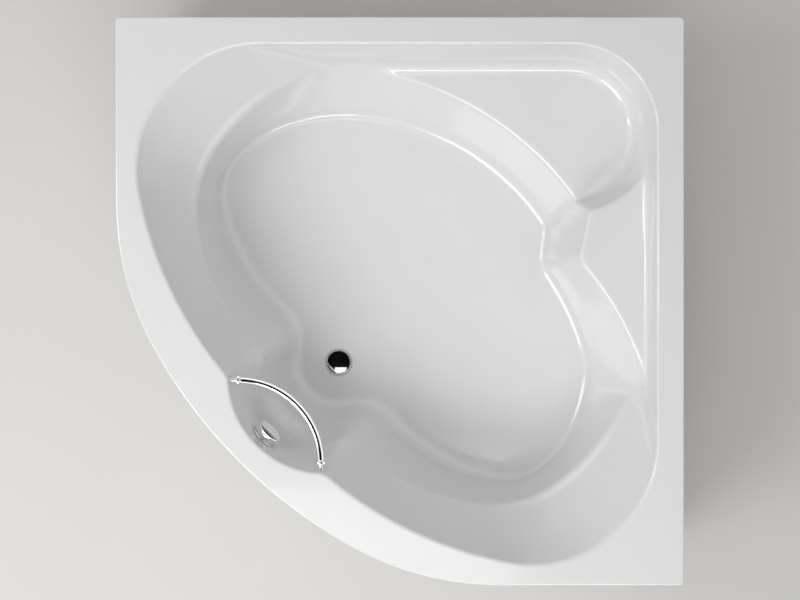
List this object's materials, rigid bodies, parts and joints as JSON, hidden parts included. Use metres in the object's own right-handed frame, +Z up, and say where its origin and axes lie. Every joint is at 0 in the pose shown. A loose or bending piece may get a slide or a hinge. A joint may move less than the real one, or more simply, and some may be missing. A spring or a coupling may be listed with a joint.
{
  "type": "corner bathtub",
  "caption": "Corner bathtub with moulded seat and arm shelf, knob-worked waste and overflow, chrome grab bar, curved front panel and adjustable feet.",
  "frame": {"origin": "on the room's floor under the middle of the bath's square outline", "axes": "+Z up; +X towards the side wall and +Y towards the back wall, so the room corner is at +X+Y and the curved front faces -X-Y"},
  "size_m": [1.5, 1.5, 0.58],
  "materials": {
    "acrylic": "white moulded acrylic, high gloss",
    "panel_acrylic": "white sheet, high gloss",
    "chrome": "polished chrome plating",
    "rubber": "black moulded seal",
    "frame_steel": "galvanised steel",
    "spring_steel": "bent spring steel",
    "zinc": "bright zinc-plated steel",
    "brass": "turned brass",
    "board": "chipboard laid into the shell's base",
    "batten": "sawn softwood",
    "white_plastic": "white polypropylene",
    "grey_plastic": "grey ribbed hose",
    "black_plastic": "black nylon",
    "cable_sheath": "grey sheath over a steel wire"
  },
  "bodies": {
    "bath": {"bath_shell": "acrylic", "base_board": "board", "rim_batten_back": "batten", "rim_batten_side": "batten", "rim_batten_front": "batten", "frame_bar_rear": "frame_steel", "frame_bar_front": "frame_steel", "frame_tie": "frame_steel", "frame_screws": "zinc", "foot_bushes": "zinc", "foot_lock_nuts": "zinc", "waste_flange": "chrome", "flange_seal": "rubber", "waste_body": "white_plastic", "body_seal": "rubber", "lever_pin": "zinc", "trap_body": "white_plastic", "trap_nut": "white_plastic", "outlet_pipe": "white_plastic", "outlet_nut": "white_plastic", "overflow_rosette": "chrome", "overflow_body": "white_plastic", "overflow_seal": "rubber", "overflow_hose": "grey_plastic", "hose_nuts": "white_plastic", "pull_cable": "cable_sheath", "grab_bar": "chrome", "grab_bar_collars": "chrome", "grab_bar_posts": "zinc", "grab_bar_washers": "zinc", "grab_bar_nuts": "zinc", "front_panel": "panel_acrylic", "panel_clips": "spring_steel", "wall_brackets": "frame_steel"},
    "knob": {"overflow_knob": "chrome", "knob_spindle": "brass"},
    "plug": {"waste_plug": "chrome", "plug_seal": "rubber"},
    "lever": {"lift_lever": "black_plastic"},
    "foot_1": {"foot_rod_1": "zinc", "foot_pad_1": "black_plastic"},
    "foot_2": {"foot_rod_2": "zinc", "foot_pad_2": "black_plastic"},
    "foot_3": {"foot_rod_3": "zinc", "foot_pad_3": "black_plastic"},
    "foot_4": {"foot_rod_4": "zinc", "foot_pad_4": "black_plastic"},
    "foot_5": {"foot_rod_5": "zinc", "foot_pad_5": "black_plastic"}
  },
  "joints": [
    {"name": "knob_turn", "type": "hinge", "parent": "bath", "child": "knob", "pos_m": [-0.36372, -0.36372, 0.504], "axis": [0.6824, 0.6824, 0.262], "range_deg": [0, 90]},
    {"name": "plug_lift", "type": "slide", "parent": "bath", "child": "plug", "axis": [0, 0, 1], "range_m": [0, 0.012]},
    {"name": "lever_swing", "type": "hinge", "parent": "bath", "child": "lever", "pos_m": [-0.1591, -0.1591, 0.102], "axis": [-0.7071, 0.7071, 0], "range_deg": [0, 27.5]},
    {"name": "foot_height_1", "type": "slide", "parent": "bath", "child": "foot_1", "axis": [0, 0, -1], "range_m": [-0.02, 0.03]},
    {"name": "foot_height_2", "type": "slide", "parent": "bath", "child": "foot_2", "axis": [0, 0, -1], "range_m": [-0.02, 0.03]},
    {"name": "foot_height_3", "type": "slide", "parent": "bath", "child": "foot_3", "axis": [0, 0, -1], "range_m": [-0.02, 0.03]},
    {"name": "foot_height_4", "type": "slide", "parent": "bath", "child": "foot_4", "axis": [0, 0, -1], "range_m": [-0.02, 0.03]},
    {"name": "foot_height_5", "type": "slide", "parent": "bath", "child": "foot_5", "axis": [0, 0, -1], "range_m": [-0.02, 0.03]}
  ],
  "couplings": [
    {"joint": "plug_lift", "follows": "knob_turn", "m_per_rad": 0.0076394},
    {"joint": "lever_swing", "follows": "knob_turn", "ratio": 0.30545}
  ]
}
